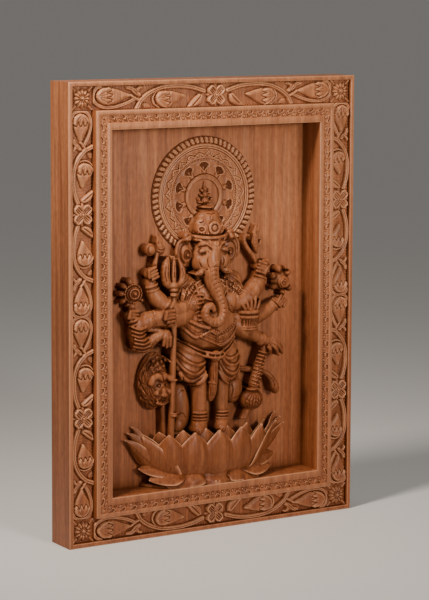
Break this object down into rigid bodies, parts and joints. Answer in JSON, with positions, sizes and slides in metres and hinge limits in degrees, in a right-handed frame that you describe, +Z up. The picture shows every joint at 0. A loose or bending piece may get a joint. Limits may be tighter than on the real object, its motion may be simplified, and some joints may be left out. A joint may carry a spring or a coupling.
{
  "type": "carved wall panel",
  "caption": "Upright wooden wall panel with a carved vine border around a sunk recess that holds an elephant-headed figure on a lotus before a round halo.",
  "frame": {"origin": "middle of the underside's footprint", "axes": "-Y is out of the carved front, +X is the viewer's right, +Z is up"},
  "size_m": [0.297, 0.0384, 0.406],
  "materials": {
    "carved_wood": "satin waxed hardwood, fine vertical grain"
  },
  "bodies": {
    "root": {"carved_panel": "carved_wood"}
  },
  "joints": []
}
